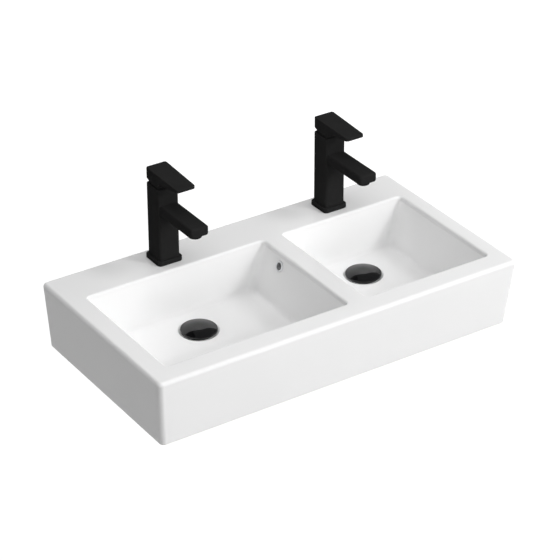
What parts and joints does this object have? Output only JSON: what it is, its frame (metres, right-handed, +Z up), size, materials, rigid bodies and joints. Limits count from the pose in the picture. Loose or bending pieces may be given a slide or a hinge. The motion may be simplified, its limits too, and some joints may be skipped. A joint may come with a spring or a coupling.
{
  "type": "wall-hung double basin",
  "caption": "Wall-hung rectangular ceramic basin with a large and a small bowl, each with its own black square lever mixer and domed click waste.",
  "frame": {"origin": "midway between the two wall bolt holes, on the wall plane", "axes": "+X to the right seen from the front, +Y into the wall, +Z up"},
  "size_m": [0.7988, 0.4292, 0.3879],
  "materials": {
    "glazed_china": "white gloss glaze",
    "matt_black_metal": "matt black coating on brass",
    "gloss_black_metal": "gloss black coating on brass",
    "chrome": "polished",
    "brass": "machined",
    "steel": "zinc plated",
    "rubber": "matt",
    "alumina": "lapped",
    "white_plastic": "moulded",
    "grey_plastic": "moulded",
    "black_plastic": "moulded"
  },
  "bodies": {
    "fixed_group": {"basin": "glazed_china", "left_aerator_housing": "matt_black_metal", "left_aerator_insert": "grey_plastic", "left_cartridge_housing": "white_plastic", "left_cartridge_nut": "brass", "left_click_housing": "white_plastic", "left_collar": "matt_black_metal", "left_fixed_disc": "alumina", "left_overflow_ring": "chrome", "left_tap_base_plate": "matt_black_metal", "left_tap_body": "matt_black_metal", "left_tap_gasket": "rubber", "left_waste_body": "gloss_black_metal", "left_waste_lower_seal": "rubber", "left_waste_upper_seal": "rubber", "right_aerator_housing": "matt_black_metal", "right_aerator_insert": "grey_plastic", "right_cartridge_housing": "white_plastic", "right_cartridge_nut": "brass", "right_click_housing": "white_plastic", "right_collar": "matt_black_metal", "right_fixed_disc": "alumina", "right_overflow_ring": "chrome", "right_tap_base_plate": "matt_black_metal", "right_tap_body": "matt_black_metal", "right_tap_gasket": "rubber", "right_waste_body": "gloss_black_metal", "right_waste_lower_seal": "rubber", "right_waste_upper_seal": "rubber", "tap_clamps": "steel", "tap_nuts": "brass", "tap_studs": "steel", "tap_washers": "rubber", "waste_backnuts": "brass"},
    "left_swivel_group": {"left_cartridge_turret": "white_plastic", "left_pivot_pin": "steel"},
    "left_lever_group": {"left_spindle": "steel", "left_lever_handle": "matt_black_metal", "left_grub_screw": "steel", "left_grub_cap": "black_plastic"},
    "left_slider_group": {"left_sliding_disc": "alumina"},
    "left_plug_group": {"left_plug": "gloss_black_metal", "left_plug_seal": "rubber", "left_plunger": "steel"},
    "right_swivel_group": {"right_cartridge_turret": "white_plastic", "right_pivot_pin": "steel"},
    "right_lever_group": {"right_spindle": "steel", "right_lever_handle": "matt_black_metal", "right_grub_screw": "steel", "right_grub_cap": "black_plastic"},
    "right_slider_group": {"right_sliding_disc": "alumina"},
    "right_plug_group": {"right_plug": "gloss_black_metal", "right_plug_seal": "rubber", "right_plunger": "steel"}
  },
  "joints": [
    {"name": "left_lever_turn", "type": "hinge", "parent": "fixed_group", "child": "left_swivel_group", "pos_m": [-0.159, -0.049, 0.226], "axis": [0, 0, 1], "range_deg": [-45, 45]},
    {"name": "left_lever_lift", "type": "hinge", "parent": "left_swivel_group", "child": "left_lever_group", "pos_m": [-0.159, -0.049, 0.226], "axis": [-1, 0, 0], "range_deg": [0, 20]},
    {"name": "left_disc_slide", "type": "slide", "parent": "left_swivel_group", "child": "left_slider_group", "axis": [0, -1, 0], "range_m": [0, 0.0057]},
    {"name": "left_plug_lift", "type": "slide", "parent": "fixed_group", "child": "left_plug_group", "axis": [0, 0, 1], "range_m": [0, 0.009]},
    {"name": "right_lever_turn", "type": "hinge", "parent": "fixed_group", "child": "right_swivel_group", "pos_m": [0.223, -0.049, 0.226], "axis": [0, 0, 1], "range_deg": [-45, 45]},
    {"name": "right_lever_lift", "type": "hinge", "parent": "right_swivel_group", "child": "right_lever_group", "pos_m": [0.223, -0.049, 0.226], "axis": [-1, 0, 0], "range_deg": [0, 20]},
    {"name": "right_disc_slide", "type": "slide", "parent": "right_swivel_group", "child": "right_slider_group", "axis": [0, -1, 0], "range_m": [0, 0.0057]},
    {"name": "right_plug_lift", "type": "slide", "parent": "fixed_group", "child": "right_plug_group", "axis": [0, 0, 1], "range_m": [0, 0.009]}
  ],
  "couplings": [
    {"joint": "left_disc_slide", "follows": "left_lever_lift", "m_per_rad": 0.016167},
    {"joint": "right_disc_slide", "follows": "right_lever_lift", "m_per_rad": 0.016167}
  ]
}
